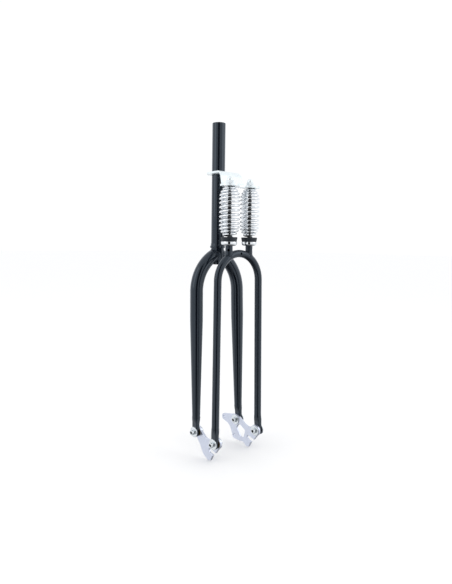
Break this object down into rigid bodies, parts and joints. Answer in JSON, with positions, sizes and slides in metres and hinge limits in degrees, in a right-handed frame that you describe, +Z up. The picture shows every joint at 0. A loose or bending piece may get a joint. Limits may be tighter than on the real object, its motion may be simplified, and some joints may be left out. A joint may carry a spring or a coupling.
{
  "type": "suspension fork",
  "caption": "Leading-link bicycle suspension fork with a threadless steerer, double guided coil springs and pivoting rockers, one with a disc caliper mount.",
  "frame": {"origin": "on the steerer axis at the shoulder that the lower headset race sits on", "axes": "+Z up along the steerer, -Y the riding direction, +X the rider's left"},
  "size_m": [0.153, 0.1316, 0.7209],
  "materials": {
    "black_paint": "gloss",
    "blackened_steel": "satin",
    "chrome": "polished",
    "silver_paint": "gloss",
    "rocker_alloy": "satin",
    "zinc_steel": "satin",
    "rubber": "matte",
    "nylon": "matte",
    "bronze": "satin"
  },
  "bodies": {
    "rear_fork": {"guide_bush_left": "nylon", "guide_bush_right": "nylon", "race_seat_ring": "black_paint", "rear_blade_left": "black_paint", "rear_blade_right": "black_paint", "rear_lug_left": "black_paint", "rear_lug_right": "black_paint", "rear_pivot_bolt_left": "zinc_steel", "rear_pivot_bolt_right": "zinc_steel", "rear_pivot_washers_left": "zinc_steel", "rear_pivot_washers_right": "zinc_steel", "rear_sleeve_nut_left": "zinc_steel", "rear_sleeve_nut_right": "zinc_steel", "spring_left": "chrome", "spring_right": "chrome", "steerer_tube": "black_paint", "upper_bracket": "silver_paint"},
    "rocker_left": {"rocker_left": "rocker_alloy", "rear_pivot_bush_left": "bronze", "front_pivot_bush_left": "bronze"},
    "rocker_right": {"rocker_right": "rocker_alloy", "rear_pivot_bush_right": "bronze", "front_pivot_bush_right": "bronze"},
    "front_fork": {"acorn_nut_left": "chrome", "acorn_nut_right": "chrome", "bumper_left": "rubber", "bumper_right": "rubber", "front_fork_tube": "black_paint", "front_lug_left": "black_paint", "front_lug_right": "black_paint", "front_pivot_bolt_left": "zinc_steel", "front_pivot_bolt_right": "zinc_steel", "front_pivot_washers_left": "zinc_steel", "front_pivot_washers_right": "zinc_steel", "front_sleeve_nut_left": "zinc_steel", "front_sleeve_nut_right": "zinc_steel", "guide_rod_left": "blackened_steel", "guide_rod_right": "blackened_steel", "rod_boss_left": "blackened_steel", "rod_boss_right": "blackened_steel", "spring_cup_left": "chrome", "spring_cup_right": "chrome", "spring_stub_left": "black_paint", "spring_stub_right": "black_paint", "top_washer_left": "chrome", "top_washer_right": "chrome"}
  },
  "joints": [
    {"name": "rocker_left_hinge", "type": "hinge", "parent": "rear_fork", "child": "rocker_left", "pos_m": [0.0565, -0.0088, -0.406], "axis": [-1, 0, 0], "range_deg": [0, 22], "stiffness_Nm_per_rad": 60, "springref_deg": -2.64, "deforming": ["spring_left", "spring_right"]},
    {"name": "rocker_right_hinge", "type": "hinge", "parent": "rear_fork", "child": "rocker_right", "pos_m": [-0.0565, -0.0088, -0.406], "axis": [-1, 0, 0], "range_deg": [0, 22]},
    {"name": "front_fork_hinge", "type": "hinge", "parent": "rocker_left", "child": "front_fork", "pos_m": [0.0565, -0.0741, -0.413], "axis": [-1, 0, 0], "range_deg": [-22.5, 0]}
  ],
  "couplings": [
    {"joint": "rocker_right_hinge", "follows": "rocker_left_hinge", "ratio": 1},
    {"joint": "front_fork_hinge", "follows": "rocker_left_hinge", "ratio": -1.01}
  ]
}
